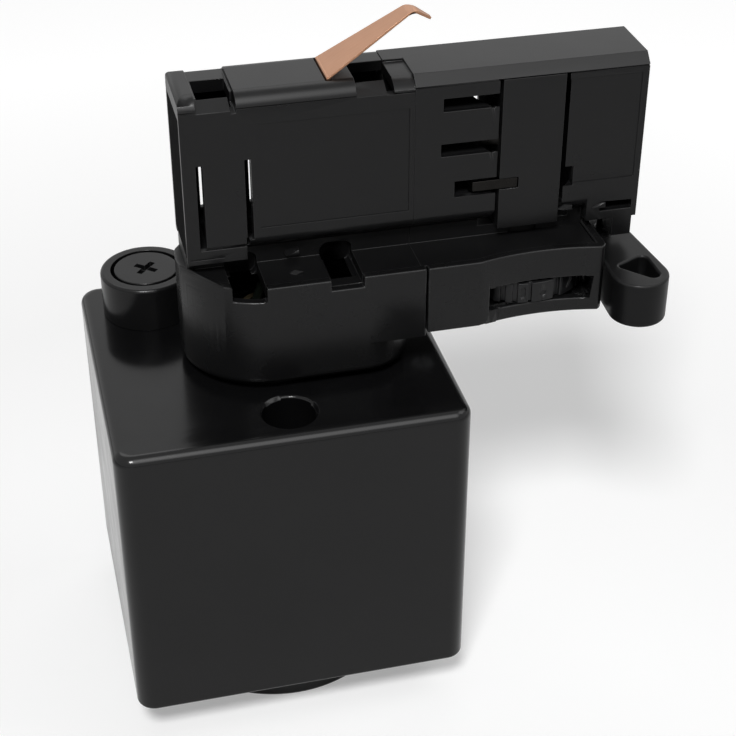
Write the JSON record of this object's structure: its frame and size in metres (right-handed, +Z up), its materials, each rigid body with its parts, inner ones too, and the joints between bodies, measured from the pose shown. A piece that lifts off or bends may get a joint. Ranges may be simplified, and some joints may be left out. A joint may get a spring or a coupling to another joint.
{
  "type": "track socket outlet",
  "caption": "Plug-in outlet for a lighting track: box housing with a round socket below and a fuse holder on top, carried by a track adapter with selector and locking lever.",
  "frame": {"origin": "mouth of the socket, on its axis, in the plane of the collar's rim", "axes": "+Z up towards the track, +X along the track adapter, +Y towards the rear"},
  "size_m": [0.1212, 0.07, 0.154],
  "materials": {
    "housing": "satin black moulding",
    "socket": "black moulding",
    "fuse_plastic": "black moulding",
    "adapter": "satin black moulding",
    "insert": "satin black moulding",
    "wheel": "dark moulding",
    "brass": "plain",
    "steel": "plated",
    "copper": "rose copper leaf",
    "fuse_glass": "clear with plated ends",
    "brown": "wire cover",
    "blue": "wire cover",
    "green": "wire cover"
  },
  "bodies": {
    "outlet": {"housing": "housing", "socket_insert": "socket", "pin_sleeves": "brass", "earth_bow": "brass", "terminal_screws": "steel", "housing_screws": "steel", "fuse_holder": "fuse_plastic", "fuse_nut": "fuse_plastic", "fuse_contact": "steel", "spacer_ring": "adapter", "nipple": "brass", "nipple_nuts": "steel", "adapter_base": "adapter", "adapter_arm": "adapter", "adapter_screws": "steel", "insert_shell": "insert", "insert_block": "insert", "earth_clamp": "brass", "detent_spring": "steel", "fuse_lead": "brown", "line_lead": "brown", "neutral_lead": "blue", "earth_lead": "green"},
    "selector": {"contact_rotor": "insert", "phase_blades": "steel", "neutral_blade": "steel", "selector_wheel": "wheel"},
    "lever": {"locking_lever": "adapter", "locking_cam": "steel"},
    "cap": {"fuse_cap": "fuse_plastic", "fuse": "fuse_glass"},
    "leaf": {"earth_leaf": "copper"}
  },
  "joints": [
    {"name": "selector_turn", "type": "hinge", "parent": "outlet", "child": "selector", "pos_m": [0.0558, 0, 0.1], "axis": [0, 0, 1], "range_deg": [0, 95]},
    {"name": "lever_turn", "type": "hinge", "parent": "outlet", "child": "lever", "pos_m": [0.077, 0, 0.1], "axis": [0, 0, 1], "range_deg": [0, 90]},
    {"name": "cap_turn", "type": "hinge", "parent": "outlet", "child": "cap", "pos_m": [-0.0228, 0.0225, 0.085], "axis": [0, 0, 1], "range_deg": [0, 90]},
    {"name": "leaf_press", "type": "hinge", "parent": "outlet", "child": "leaf", "pos_m": [0.01355, 0, 0.143], "axis": [0, 1, 0], "range_deg": [0, 18], "stiffness_Nm_per_rad": 0.05}
  ]
}
